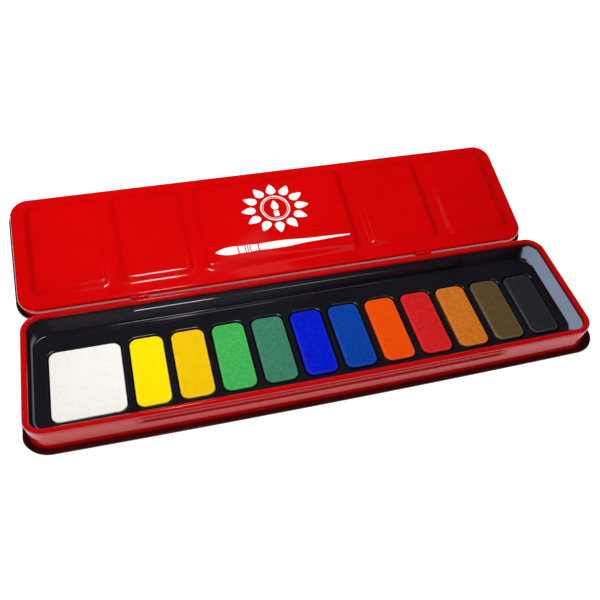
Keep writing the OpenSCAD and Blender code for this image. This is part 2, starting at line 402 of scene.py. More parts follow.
def tray_enamel():
    """Black gloss enamel of the tray. Walls marked `endwall` glow with a painted reflection of a
    cool window light.
    """
    mat = MaterialTree("tray_enamel_mat")
    slow = mat.noise(30, (2, 3, 0))
    color = mat.mix(mat.ramp(slow, (0.35, 0.65)),
                    rgb(0.0062, 0.0060, 0.0088), rgb(0.0086, 0.0084, 0.0118))
    dust = mat.ramp(mat.noise(0.30, (1, 9, 2), detail=1), (0.78, 0.85), to=(0, 0.5))
    grime = mat.ramp(mat.noise(2.2, (4, 4, 2), detail=3, rough=0.7), (0.60, 0.75), to=(0, 0.10))
    color = mat.mix(mat.math("MAXIMUM", dust, grime), color, rgb(0.050, 0.048, 0.050))
    smear = mat.noise(9, (3, 7, 4), detail=3, rough=0.6)
    roughness = mat.plus(mat.ramp(smear, (0.35, 0.7), to=(0.055, 0.11)), mat.times(dust, 0.5))
    # orange peel over a slower wave
    height = mat.plus(mat.times(mat.noise(1.1, (1, 5, 5)), 0.5),
                      mat.times(mat.noise(7.0, (8, 6, 6), detail=1), 2.4))
    normal = mat.bump(height, depth=0.004)
    shader = mat.bsdf(color, roughness, Specular_IOR_Level=0.42, Coat_Weight=0.05,
                      Coat_Roughness=0.06, Normal=normal, Coat_Normal=normal)
    # the painted reflection is strongest at a glancing view, a little uneven, and only the camera
    # sees it
    end_wall = mat.attribute("endwall")
    layer = mat.new("ShaderNodeLayerWeight")
    layer.inputs["Blend"].default_value = 0.35
    glancing = mat.ramp(layer.outputs["Facing"], (0.0, 0.9), to=(0.85, 1.15))
    uneven = mat.ramp(mat.noise(16, (0, 2, 8), detail=1), (0.3, 0.7), to=(0.92, 1.06))
    camera_ray = mat.new("ShaderNodeLightPath").outputs["Is Camera Ray"]
    strength = mat.times(mat.times(mat.times(end_wall, glancing), uneven), camera_ray)
    return mat.done(mat.glowing(shader, srgb(124, 137, 157), strength))


def pigment(name, color, seed, worn, dark, gloss):
    """Pressed dry water-colour: powder grain, soft blotches and rubbed, paler edges, with a
    painted highlight along the front and left edges and painted shade on the sides down in the
    well.

    worn: how pale the rubbed edges and their painted highlight are; dark: depth of the blotches;
    gloss: polish of the edges.
    """
    def changed(change):
        return rgb(*[change(c) for c in color[:3]])

    mat = MaterialTree(name)
    top = max(color[:3])
    bright = top >= 0.6              # bright paints show less grain, grit and mottle
    pale = changed(lambda c: min(1.0, c * 1.16
                                 + 0.10 * (0.30 + 0.70 * top) * (0.35 + 0.65 * c / top)))
    deep = changed(lambda c: c * dark * 0.92)
    middle = changed(lambda c: c * (0.45 + 0.55 * dark))
    painted_well_shade = changed(lambda c: c * 0.10 + 0.0015)
    mottle = 0.022 if bright else 0.11

    grain = mat.noise(0.34, (seed, 0, 0), detail=3, rough=0.75)
    grit = mat.noise(0.85, (0, seed, 3), detail=3, rough=0.65)
    blotch = mat.noise(4.2, (seed, seed, 5), detail=3, rough=0.55)
    paint = mat.mix(mat.ramp(blotch, (0.30, 0.62)), middle, color)
    grain_amount = mat.ramp(grain, (0.50, 0.72), to=(0, 0.34 if bright else 0.62))
    paint = mat.mix(grain_amount, paint, pale)
    paint = mat.mix(mat.ramp(grit, (0.28, 0.50), to=(0.30 if bright else 0.80, 0)), paint, deep)
    patches = mat.noise(1.25, (seed, 7, seed), rough=0.6)
    paint = mat.mix(1.0, paint, mat.ramp(patches, (0.33, 0.67), to=(1 - mottle, 1 + mottle)),
                    "MULTIPLY")
    rub = mat.noise(2.2, (2, seed, 1), detail=3, rough=0.7)
    # real rubbing of the edges plus a painted highlight along the front and left
    rubbed_and_lit_edge = mat.times(mat.attribute("edge"), mat.ramp(rub, (0.28, 0.58), to=(0.45, 1.0)))
    paint = mat.mix(mat.times(rubbed_and_lit_edge, worn, clamp=True), paint, pale)
    # painted shade on the sides down in the well
    paint = mat.mix(mat.times(mat.attribute("side"), 0.72), paint, painted_well_shade)

    height = mat.plus(mat.times(grain, 0.7), mat.times(grit, 0.8))
    height = mat.plus(height, mat.times(mat.noise(2.4, (seed, 4, 9)), 1.6))
    roughness = mat.math("SUBTRACT", mat.ramp(grain, (0.3, 0.7), to=(0.78, 0.95)),
                         mat.times(rubbed_and_lit_edge, 0.50), clamp=True)
    polish = mat.plus(mat.times(rubbed_and_lit_edge, gloss), 0.08)
    return mat.done(mat.bsdf(paint, roughness, Sheen_Weight=0.02, Sheen_Roughness=0.55,
                             Specular_IOR_Level=polish, Sheen_Tint=pale,
                             Normal=mat.bump(height, depth=0.05, strength=0.9)))


def steel():
    """Drawn steel wire with streaks along X."""
    mat = MaterialTree("pin_steel_mat")
    drawn = mat.noise(0.16, detail=3, rough=0.6, stretch=(0.06, 1, 1))
    color = mat.mix(mat.ramp(drawn, (0.3, 0.7)), rgb(0.42, 0.42, 0.44), rgb(0.66, 0.66, 0.68))
    return mat.done(mat.bsdf(color, mat.ramp(drawn, (0.3, 0.7), to=(0.22, 0.42)), Metallic=1.0,
                             Normal=mat.bump(drawn, depth=0.004)))


def white_ink():
    """White print, slightly uneven, with the red showing at pinholes."""
    mat = MaterialTree("white_ink_mat")
    fine = mat.noise(0.5, (4, 4, 4), detail=3, rough=0.7)
    slow = mat.noise(5, (1, 4, 4))
    color = mat.mix(mat.ramp(slow, (0.3, 0.7)), rgb(0.86, 0.84, 0.83), rgb(0.94, 0.93, 0.92))
    color = mat.mix(mat.ramp(fine, (0.70, 0.82), to=(0, 0.6)), color, rgb(0.80, 0.30, 0.28))
    return mat.done(mat.bsdf(color, mat.ramp(fine, (0.3, 0.7), to=(0.32, 0.48)),
                             Specular_IOR_Level=0.4, Normal=mat.bump(fine, depth=0.004)))


def pale_paper():
    """Near-white floor that also glows a little."""
    mat = MaterialTree("pale_paper")
    slow = mat.noise(60, detail=3)
    color = mat.mix(mat.ramp(slow, (0.3, 0.7)), rgb(0.50, 0.50, 0.50), rgb(0.52, 0.52, 0.52))
    shader = mat.bsdf(color, 0.9, Specular_IOR_Level=0.1)
    return mat.done(mat.glowing(shader, rgb(1, 1, 1), 0.86))


RED = enamel("red_enamel_mat", base=rgb(0.610, 0.0004, 0.0008), deep=rgb(0.570, 0.0003, 0.0006),
             rough=0.085, seed=1.0, shade_bends=True)
# the base's red is a darker copy of the lid's red enamel: painted shade for its walls, which face
# away from the overhead lamp
RED_BASE = enamel("red_enamel_base_mat", base=rgb(0.500, 0.0020, 0.0028),
                  deep=rgb(0.450, 0.0016, 0.0024), rough=0.10, seed=5.0, spec=0.37, coat=0.10)
BLACK = enamel("black_enamel_mat", base=rgb(0.0370, 0.0042, 0.0048),
               deep=rgb(0.0430, 0.0052, 0.0058), rough=0.12, seed=9.0, coat=0.30)
BLACK_LID = enamel("black_enamel_lid_mat", base=rgb(0.0088, 0.0062, 0.0070),
                   deep=rgb(0.0115, 0.0080, 0.0090), rough=0.14, seed=12.0)
TRAY = tray_enamel()
STEEL = steel()
INK = white_ink()


# ---------------------------------------------------------------- base wall
# (z, depth) of the pressing in the front: a long groove, a narrow ridge, a nip under the rim
GROOVE = [
    (5.82, 0.0), (5.90, 0.025), (6.00, 0.085), (6.15, 0.19), (6.40, 0.36), (6.65, 0.52),
    (6.84, 0.62), (6.98, 0.67), (7.10, 0.69), (7.42, 0.69), (7.56, 0.66), (7.70, 0.54),
    (7.84, 0.38), (7.95, 0.23), (8.04, 0.12), (8.12, 0.04), (8.20, 0.0),
    (8.50, 0.0), (8.58, 0.03), (8.70, 0.11), (8.86, 0.23), (9.04, 0.34), (9.18, 0.40),
    (9.30, 0.42), (9.38, 0.38), (9.50, 0.25), (9.65, 0.08), (9.78, 0.0),
]
GROOVE_LEFT, GROOVE_RIGHT, GROOVE_FADE = -69.5, 67.5, 2.2
OUTER_Z = [0.60, 0.75, 0.92, 1.1, 1.4, 1.75, 2.1, 2.4, 2.6, 2.8, 3.1, 3.4, 3.8, 4.1, 4.4, 4.7,
           5.0, 5.6]                 # stations up the outside, below the groove
INNER_Z = [5.0, 4.2, 3.4, 2.6, 2.0, 1.5, 1.1, 0.60]      # and down the inside
INNER_IN = 0.55


def base_wall():
    """Wall with its rolled rim; it runs out in a small hollow at its foot."""
    groove_z, groove_depth = zip(*GROOVE)
    profile = [(WALL_IN, z) for z in OUTER_Z + [z for z in groove_z if z < 9.15]]    # inset, z
    profile += [(0.152, 9.2)]
    profile += [(RIM_R - x, z) for x, z in arc(RIM_Z, RIM_R, -26, 236, 30)]
    profile += [(0.60, 9.0)]
    profile += [(INNER_IN, z) for z in [z for z in groove_z[::-1] if z < 8.95] + INNER_Z]
    rings = []
    for inset, z in profile:
        foot = 0.0684 + 0.114 * (3.8 - z) if z < 3.8 else 0.0475 * max(5.0 - z, 0.0) ** 2
        grow = foot - inset
        xy = ring(HALF_X + grow, HALF_Y + grow, CORNER + grow, 150, 22, 14)
        points = at_z(xy, z)
        if z < 9.8 and inset < 0.62:
            along = window(xy[:, 0], GROOVE_LEFT, GROOVE_FADE, GROOVE_RIGHT, GROOVE_FADE)
            front = xy[:, 1] < -(HALF_Y + grow) + 0.01
            points[:, 1] += np.interp(z, groove_z, groove_depth) * along * front
        rings.append(points)
    builder = Builder()
    builder.loft(rings, closed=True)
    ob = builder.mesh("base_wall_shell", RED_BASE, bow=True)
    finish(ob, "base", "base_wall", sharp=50)


# ---------------------------------------------------------------- covers
def folded_edge(hem, end_angle, steps):
    """(inset, height) from the flat outer side round a fold of radius hem."""
    flat = [(4.0, 0.0), (2.2, 0.0), (hem + 0.35, 0.0)]
    return flat + [(hem - x, z) for x, z in arc(hem, hem, -90, end_angle, steps)]


def cover_sheet(half_x, half_y, radius, profile, centre_x=0.0):
    """Flat sheet lofted from (x inset, y inset, z) stations and capped on both sides."""
    builder = Builder()
    builder.loft([at_z(ring(half_x - in_x, half_y - in_y, max(radius - in_y, 1.0), 60, 14, 14,
                            (centre_x, 0.0)), z)
                  for in_x, in_y, z in profile], cap_start=True, cap_end=True)
    return builder


def bottom_cover():
    """Its fold is pressed flat: a nearly level top that runs in to the wall."""
    hem = 0.45
    half_x, half_y = box_mm("bottom_cover")[1][:2]
    wall = half_y - HALF_Y + WALL_IN             # inset at which the long walls stand
    end_wall = half_x - HALF_X + WALL_IN - 0.9
    profile = folded_edge(hem, 66, 14)
    edge, top = profile[-1]
    profile += [(edge + 0.08, top + 0.025), (edge + 0.22, top + 0.035), (edge + 0.6, top + 0.02),
                (wall - 0.75, top - 0.02), (wall - 0.3, top - 0.04), (wall + 0.02, top - 0.10),
                (wall + 0.05, COVER_T + 0.1), (wall + 0.25, COVER_T), (5.2, COVER_T)]
    stretch = (end_wall - hem) / (wall - hem)    # the flange is wider at the ends
    stations = [(hem + (inset - hem) * stretch if inset > hem else inset, inset, z)
                for inset, z in profile]
    # the cover's middle lies 1 mm right of the wall's, so its two end flanges differ
    sheet = cover_sheet(half_x, half_y, CORNER + half_y - HALF_Y, stations, centre_x=1.0)
    ob = sheet.mesh("bottom_cover_sheet", BLACK, bow=True)
    finish(ob, "base", "bottom_cover", sharp=60)


def lid_cover():
    """Its fold stays half round."""
    profile = folded_edge(0.6, 128, 22)
    edge, top = profile[-1]
    profile += [(edge + 0.10, top - 0.28), (edge + 0.16, COVER_T + 0.25),
                (edge + 0.30, COVER_T + 0.06), (edge + 0.55, COVER_T), (4.0, COVER_T)]
    stations = [(inset, inset, LID_T - z) for inset, z in profile]
    sheet = cover_sheet(LID_HALF_X + LIP, LID_HALF_Y + LIP, CORNER + LIP, stations)
    ob = sheet.mesh("lid_cover_sheet", BLACK_LID, LID_TO_OPEN)
    finish(ob, "lid", "lid_cover", sharp=60)


# ---------------------------------------------------------------- tablets and tray: sizes
TABLETS = {     # node: colour, wear of the edges, depth of the blotches, polish of the edges
    "white_tablet": (srgb(237, 235, 229, 0.945), 0.5, 0.94, 0.20),
    "yellow_tablet": (srgb(254, 219, 0, 0.95), 0.34, 0.93, 0.20),
    "gold_tablet": (srgb(235, 191, 3, 0.92), 0.45, 0.90, 0.20),
    "light_green_tablet": (srgb(62, 168, 82, 0.97), 0.55, 0.86, 0.25),
    "dark_green_tablet": (srgb(56, 119, 94, 0.98), 0.45, 0.86, 0.25),
    "ultramarine_tablet": (srgb(0, 21, 186), 0.30, 0.86, 0.30),
    "cobalt_tablet": (srgb(3, 58, 149), 0.35, 0.86, 0.30),
    "orange_tablet": (srgb(223, 72, 0, 0.98), 0.40, 0.88, 0.30),
    "red_tablet": (srgb(195, 26, 29), 0.40, 0.88, 0.30),
    "ochre_tablet": (srgb(191, 105, 27), 0.55, 0.88, 0.45),
    "umber_tablet": (srgb(82, 66, 38), 0.55, 0.86, 0.95),
    "black_tablet": (srgb(33, 34, 38), 0.22, 0.80, 0.95),
}
TABLET_R = 3.0                       # corner radius
TABLET_EDGE = 0.50                   # rounding of the top edge
TABLET_CROWN = 0.14                  # rise of the top towards its middle

LAND_Z = 3.7                         # the flat land between the wells
TRAY_TOP_Z = 9.22
TRAY_TOP_IN = 2.12                   # inset of the walls at their top
TRAY_FOOT_X = (FOOT_LEFT + FOOT_RIGHT) / 2
TRAY_FOOT_Y = 5.2
# stations down the tray's walls: 0 at the top, 1 at the land; closest at the bead's edges
WALL_STATIONS = [0, 0.04, 0.1, 0.18, 0.25, 0.28, 0.295, 0.31, 0.325, 0.34, 0.36, 0.40, 0.46,
                 0.52, 0.58, 0.64, 0.68, 0.70, 0.715, 0.73, 0.745, 0.76, 0.78, 0.82, 0.86, 0.90,
                 0.94]
WELL_GAP = 0.6                       # between a tablet and its well
WELL_LIP = 0.62
WELL_ROOT = 0.5
WELL_R = TABLET_R + WELL_GAP


# ---------------------------------------------------------------- tray
def tray_walls():
    """Rings from under the rim down to the land, with a long bead in the front and back."""
    top_radius = CORNER - TRAY_TOP_IN

    def wall_ring(in_x, in_y, z, radius):
        xy = ring(HALF_X - in_x, HALF_Y - in_y, radius, 100, 24, 14)
        down = min((TRAY_TOP_Z - z) / (TRAY_TOP_Z - LAND_Z), 1.0)
        xy[:, 0] += (FOOT_LEFT - FOOT_RIGHT) / 2 * down
        return at_z(xy, z)

    rings = []
    for t in WALL_STATIONS:
        z = lerp(TRAY_TOP_Z, LAND_Z, t)
        in_x = lerp(TRAY_TOP_IN, TRAY_FOOT_X - 0.35, t)
        in_y = lerp(TRAY_TOP_IN, TRAY_FOOT_Y - 0.45, t / WALL_STATIONS[-1])
        points = wall_ring(in_x, in_y, z, lerp(top_radius, top_radius + 1.2, t))
        bead = min(max((t - 0.285) / 0.06, 0.0), 1.0) * ease((0.765 - t) / 0.07)
        along = window(points[:, 0], -69, 3, 69, 3)
        long_wall = np.abs(points[:, 1]) > HALF_Y - in_y - 0.02
        side = np.where(long_wall, np.sign(points[:, 1]), 0)
        points[:, 1] -= side * 0.36 * bead * along
        points[:, 2] += np.abs(side) * 0.165 * bead * along
        rings.append(points)
    # fillet from the lowest station to the land
    for s, c in quarter(6, first=1):
        away = 1 - c
        rings.append(wall_ring(lerp(in_x, TRAY_FOOT_X + 0.35, away),
                               lerp(in_y, TRAY_FOOT_Y + 0.1, 0.35 * s + 0.65 * away),
                               z - (z - LAND_Z) * s, top_radius + 1.2 - 0.3 * away))
    return rings


def well(low, high, floor_z):
    """Rings of one well: rounded lip, wall and a small root radius down to the floor."""
    half_x, half_y = (high[0] - low[0]) / 2 + WELL_GAP, (high[1] - low[1]) / 2 + WELL_GAP
    centre = ((high[0] + low[0]) / 2, (high[1] + low[1]) / 2)
    steps_x = max(8, int(half_x * 0.9))

    def well_ring(out, z):
        return at_z(ring(half_x + out, half_y + out, WELL_R + out, steps_x, 18, 8, centre), z)

    root_z = floor_z + WELL_ROOT
    rings = [well_ring(WELL_LIP * (1 - s), LAND_Z - WELL_LIP * (1 - c)) for s, c in quarter(6)]
    rings.append(well_ring(0, root_z))
    rings += [well_ring(-WELL_ROOT * (1 - c), root_z - WELL_ROOT * s - 0.03)
              for s, c in quarter(4, first=1)]
    return rings


def painted_window_reflection(wall):
    """How strongly each wall vertex shows the painted reflection of the window light, fading out
    round the corners.
    """
    x, y, z = wall.T
    foot = np.where(x > 0, FOOT_RIGHT, FOOT_LEFT)
    ends = ease((np.abs(x) - (HALF_X - foot - 1.3)) / 0.8) * window(z, 3.86, 0.16, 9.05, 0.30)
    back_corner = ease((x - (HALF_X - CORNER - 1.1 * (9.2 - z) / 5)) / 0.9) * (y > 0)
    right = np.maximum(ends, back_corner * window(z, 4.5, 0.25, 8.6, 0.35))
    # the left wall shows it only in a narrow strip above its foot
    left = 0.42 * ends * window(z, 4.1, 0.4, 6.3, 1.3)
    # the left part of the back wall gets a little of the painted reflection
    back = (y > HALF_Y - 6.5) * window(z, 4.1, 0.6, 9.0, 0.4) * window(x, -99, 6, 45, 90)
    return np.maximum(np.where(x > 0, right, left), 0.045 * back)


def paint_tray():
    boxes = [box_mm(node) for node in TABLETS]
    floor_z = boxes[0][0][2]
    builder = Builder()
    loops = [builder.loft(tray_walls())[-1]]
    wall_count = builder.count
    for low, high in boxes:
        loops.append(builder.loft(well(low, high, floor_z), cap_end=True)[0])
    points = np.concatenate(builder.points)
    land, *wells = [points[loop][:, :2] for loop in loops]
    flat_fill(builder, loops, LAND_Z,
              lambda x, y: inside(x, y, land) and not any(inside(x, y, w) for w in wells))
    # painted reflection of a window light on the tray's walls, kept in the endwall attribute
    light = np.zeros(builder.count)
    light[:wall_count] = painted_window_reflection(points[:wall_count])
    ob = builder.mesh("stamped_tray", TRAY, attributes={"endwall": light}, bow=True)
    finish(ob, "base", "paint_tray", sharp=50)


# ---------------------------------------------------------------- tablets
def tablet_profile(bottom, top, half_width):
    """(inset, z, edge wear) up the side, round the edge and over the crowned top."""
    edge = TABLET_EDGE
    profile = [(0.12, bottom, 0.0), (0.0, bottom + 0.15, 0.0), (0.0, top - edge - 0.9, 0.1),
               (0.0, top - edge - 0.4, 0.6), (0.0, top - edge, 0.9)]
    profile += [(edge * (1 - c), top - edge * (1 - s), 1.0) for s, c in quarter(6, first=1)]
    profile[-1] = (*profile[-1][:2], 0.8)
    inset = edge
    while inset < half_width - 1.2:
        inset += 0.42 if inset < 2.4 else 0.62
        t = min(inset / 3.6, 1)
        wear = float(np.clip(1 - (inset - edge) / 0.8, 0, 1)) * 0.8
        profile.append((inset, top + TABLET_CROWN * (1 - (1 - t) ** 2), wear))
    return profile


def roughen(points, centre, top, limit, seed):
    """The press leaves the cake a little uneven."""
    for p in points:
        x, y, z = p
        middle = noise.noise(Vector((x * 0.9 + seed * 7, y * 0.9, z * 0.5)))
        if z > top - 0.05:
            fine = noise.noise(Vector((x * 2.6, y * 2.6 + seed * 3, z)))
            broad = noise.noise(Vector((x * 0.28, y * 0.28, seed * 5.0)))
            p[2] += min(0.010 * middle + 0.006 * fine + 0.015 * broad, limit - z)
        else:
            p[:2] = centre + (p[:2] - centre) * (1 - 0.0022 * middle)


def tablet(node, color, worn, dark, gloss, seed):
    low, high = box_mm(node)
    half_x, half_y = (high[0] - low[0]) / 2, (high[1] - low[1]) / 2
    centre = (high[:2] + low[:2]) / 2
    step = 0.55
    steps_x = max(6, int(2 * (half_x - TABLET_R) / step))
    steps_y = int(2 * (half_y - TABLET_R) / step)
    top = high[2] - TABLET_CROWN
    rings, edge, side = [], [], []
    for inset, z, wear in tablet_profile(low[2], top, min(half_x, half_y)):
        xy = ring(half_x - inset, half_y - inset, max(TABLET_R - inset, 0.35),
                  steps_x, steps_y, 8, centre)
        points = at_z(xy, z)
        if z > low[2] + 0.3:
            roughen(points, centre, top, high[2], seed)
        rings.append(points)
        # rubbed edges, with a painted highlight added along the front and left edges, where the
        # light falls
        x, y = (xy - centre).T
        edge.append(wear * (0.45 + 0.55 * np.clip(
            (-x / half_x * 0.6 - y / half_y * 0.7) + 0.35, 0, 1)))
        # painted shade: the sides down in the well are darkened
        side.append(np.full(len(xy), ease((top - TABLET_EDGE * 0.55 - z) / 0.5)))
    builder = Builder()
    builder.loft(rings, cap_start=True, cap_end=True)
    material = pigment(node.replace("_tablet", "_paint_mat"), color, seed * 3.7,
                       worn, dark, gloss)
    ob = builder.mesh(node.replace("_tablet", "_cake"), material,
                      attributes={"edge": np.concatenate(edge), "side": np.concatenate(side)})
    finish(ob, "base", node, sharp=70, weighted=False)


# ---------------------------------------------------------------- lid plate
PANELS = [(-100.2, -70.2), (-66.8, -37.2), (-33.8, 32.2), (35.6, 67.4), (70.9, 100.3)]  # x ends
PANEL_FRONT, PANEL_BACK = LID_HALF_Y - 48.2, LID_HALF_Y - 5.3    # y of the shut lid
PANEL_R = 4.0
PLATE_EDGE = 1.15                    # rounding between the plate and the lid's wall
GRID_MARGIN = 3.0                    # the plate's edge outside the grid of the panels


def panel_height(x, y):
    """How far the stamped panels stand out at x, y (+y towards the hinge)."""
    height = np.zeros(x.shape)
    centre_y, half_y = (PANEL_FRONT + PANEL_BACK) / 2, (PANEL_BACK - PANEL_FRONT) / 2
    for left, right in PANELS:
        over_x = np.abs(x - (left + right) / 2) - ((right - left) / 2 - PANEL_R)
        over_y = np.abs(y - centre_y) - (half_y - PANEL_R)
        depth = -(np.hypot(np.maximum(over_x, 0), np.maximum(over_y, 0))
                  + np.minimum(np.maximum(over_x, over_y), 0) - PANEL_R)
        bend = np.where(over_x > over_y, 2.9, 3.7)       # the end bends are tighter
        height = np.maximum(height, PANEL_H * ease(depth / bend))
    return height


def lid_plate():
    """The lid's inner plate with its five panels, and the wall round it."""
    def plate_ring(inset, z):
        return at_z(ring(LID_HALF_X - inset, LID_HALF_Y - inset, CORNER - inset, 100, 24, 14), z)

    builder = Builder()
    wall = LID_T - COVER_T
    rings = [plate_ring(PLATE_EDGE * (1 - s), PLATE_EDGE * (1 - c)) for s, c in quarter(8)]
    rings += [plate_ring(0, z) for z in (2.4, 3.6, wall - 0.35, wall + 0.02)]
    outer = builder.loft(rings)[0]

    grid_x, grid_y = LID_HALF_X - GRID_MARGIN, LID_HALF_Y - GRID_MARGIN
    xs, ys = np.linspace(-grid_x, grid_x, 300), np.linspace(-grid_y, grid_y, 68)
    x, y = np.meshgrid(xs, ys, indexing="ij")
    z = -panel_height(x, y)
    grid = builder.add(np.column_stack([x.ravel(), y.ravel(), z.ravel()])).reshape(x.shape)
    for i in range(len(xs) - 1):
        for j in range(len(ys) - 1):
            builder.faces.append([grid[i, j], grid[i + 1, j], grid[i + 1, j + 1], grid[i, j + 1]])
    inner = np.concatenate([grid[:-1, 0], grid[-1, :-1], grid[1:, -1][::-1], grid[0, 1:][::-1]])
    flat_fill(builder, [outer, inner], 0.0, lambda x, y: abs(x) > grid_x or abs(y) > grid_y)

    # painted shade in `bend`: the bends turned away from the lamp are darkened most, the others a
    # little
    slope_x, slope_y = np.gradient(z, xs, ys)
    away = np.clip((x + 45) / 60, -1, 1) * slope_x
    shade = (np.clip(away / 0.30, 0, 1) + 0.12 * np.clip(np.abs(slope_x) / 0.30, 0, 1)
             + 0.25 * np.clip(-slope_y / 0.30, 0, 1))
    bend = np.zeros(builder.count)
    bend[grid.ravel()] = np.clip(shade, 0, 1).ravel()
    ob = builder.mesh("lid_inner_plate", RED, LID_TO_OPEN, attributes={"bend": bend})
    finish(ob, "lid", "lid_plate", sharp=50)


# ---------------------------------------------------------------- hinges
HINGE_X = (-62.0, 54.0)
LOOP_R = 0.79                        # middle line of the strip rolled round the pin
LOOP_T = 0.40
LOOP_CUT = 0.12                      # softened edges of the strip
LID_LOOP_W = 2.3                     # one lid loop between two base loops
BASE_LOOP_W = 2.0
LOOP_GAP = 0.15
STRIP_BEND_R = 0.37                  # where the lid strip turns down to its loop
LID_STRIP_Z = LID_Z + 2.65 - 0.225
# (distance past the outer loops, radius) of a pin's head, from its end inwards
PIN_HEAD = [(0.40, 0.01), (0.40, 0.35), (0.36, 0.58), (0.25, 0.72), (0.12, 0.74), (0.10, 0.5)]


def curl(start, end):
    """(y, z) round the hinge axis, from start to end degrees."""
    return [(AXIS_Y + LOOP_R * math.cos(a), AXIS_Z + LOOP_R * math.sin(a))
            for a in np.radians(np.linspace(start, end, 30))]


def bent_strip(path, width, x):
    """Sheet strip of the given width along X, bent along a path of (y, z) points."""
    path = np.array(path)
    along = np.gradient(path, axis=0)
    along /= np.linalg.norm(along, axis=1)[:, None]
    normals = np.column_stack([-along[:, 1], along[:, 0]])
    w, t, cut, soft = width / 2, LOOP_T / 2, LOOP_CUT, LOOP_CUT * 0.3
    section = [                      # (across, out) round the softened rectangle
        (-w + cut, -t), (w - cut, -t), (w - soft, -t + soft), (w, -t + cut),
        (w, t - cut), (w - soft, t - soft), (w - cut, t), (-w + cut, t),
        (-w + soft, t - soft), (-w, t - cut), (-w, -t + cut), (-w + soft, -t + soft),
    ]
    builder = Builder()
    builder.loft([[(x + across, *(point + normal * out)) for across, out in section]
                  for point, normal in zip(path, normals)], cap_start=True, cap_end=True)
    return builder


def base_hinges():
    low = AXIS_Z - LOOP_R
    path = [(HALF_Y - WALL_IN - 0.02, low), (HALF_Y + 0.8, low), (AXIS_Y - 0.6, low)]
    path += curl(-90, 205)
    offset = LID_LOOP_W / 2 + LOOP_GAP + BASE_LOOP_W / 2
    strips = [bent_strip(path, BASE_LOOP_W, x + side * offset)
              for x in HINGE_X for side in (-1, 1)]
    ob = joined(strips).mesh("base_hinge_loops", RED_BASE)
    finish(ob, "base", "base_hinge_tabs", sharp=55, weighted=False)


def lid_hinges():
    path = [(LID_BACK - 0.05, LID_STRIP_Z), (AXIS_Y, LID_STRIP_Z)]
    for a in np.radians((15, 35, 55, 75, 90)):
        path.append((AXIS_Y + LOOP_R - STRIP_BEND_R + STRIP_BEND_R * math.sin(a),
                     LID_STRIP_Z - STRIP_BEND_R + STRIP_BEND_R * math.cos(a)))
    path += [(AXIS_Y + LOOP_R, AXIS_Z + 2.5), (AXIS_Y + LOOP_R, AXIS_Z + 0.8)]
    path += curl(0, -290)
    strips = [bent_strip(path, LID_LOOP_W, x) for x in HINGE_X]
    ob = joined(strips).mesh("lid_hinge_loops", RED_BASE, TO_OPEN)
    finish(ob, "lid", "lid_hinge_tabs", sharp=55, weighted=False)


def hinge_pins():
    half = LID_LOOP_W / 2 + LOOP_GAP + BASE_LOOP_W
    profile = [(-half - out, r) for out, r in PIN_HEAD]
    profile += [(half + out, r) for out, r in PIN_HEAD[::-1]]
    a = np.linspace(0, 2 * math.pi, 25)[:-1]
    parts = []
    for x in HINGE_X:
        pin = Builder()
        pin.loft([np.column_stack([np.full(24, x + along), AXIS_Y + r * np.cos(a),
                                   AXIS_Z + r * np.sin(a)])
                  for along, r in profile], cap_start=True, cap_end=True)
        parts.append(pin)
    ob = joined(parts).mesh("hinge_pin_pair", STEEL)
    finish(ob, "base", "hinge_pins", sharp=40, weighted=False)


# ---------------------------------------------------------------- print
# Drawn in (u, v): u along X from the lid's middle, v away from the lid's hinge edge
INK_T = 0.012
RING_U, RING_V = 0.2, 31.3           # middle of the ring of drops
DROP_R = 1.75
DROP_POINT = 1.9                     # lengthening of a drop's outer half
BRUSH_U, BRUSH_V = -28.4, 13.4       # bristle end of the resting brush
# ferrule under the ring's brush head: (half width, v) at its upper and lower edges
HEAD_FERRULE = [((1.0, -1.35), (1.15, -2.0)), ((1.15, -2.3), (0.95, -4.1))]
# ferrule of the resting brush, in four parts: (u, half width) at both ends
FERRULE = [((9.5, 1.72), (12.0, 1.66)), ((12.4, 1.8), (13.0, 1.8)), ((13.4, 1.8), (14.0, 1.8)),
           ((14.4, 1.6), (17.4, 1.45))]


def drop(angle):
    """One paint drop with its point outwards; the ring of drops is 1.18 times wider along u."""
    ca, sa = math.cos(angle), math.sin(angle)
    points = []
    for k in range(28):
        a = 2 * math.pi * k / 28
        x, y = DROP_R * math.cos(a), DROP_R * math.sin(a)
        if x > 0:
            x *= DROP_POINT
            y *= 1 - (x / (DROP_R * DROP_POINT)) ** 1.4 * 0.55
        x += 8.9
        points.append((RING_U + 1.18 * (x * ca - y * sa), RING_V + x * sa + y * ca))
    return points


def circle(radius):
    angles = [2 * math.pi * k / 48 for k in range(48)]
    return [(RING_U + radius * math.cos(a), RING_V + radius * math.sin(a)) for a in angles]


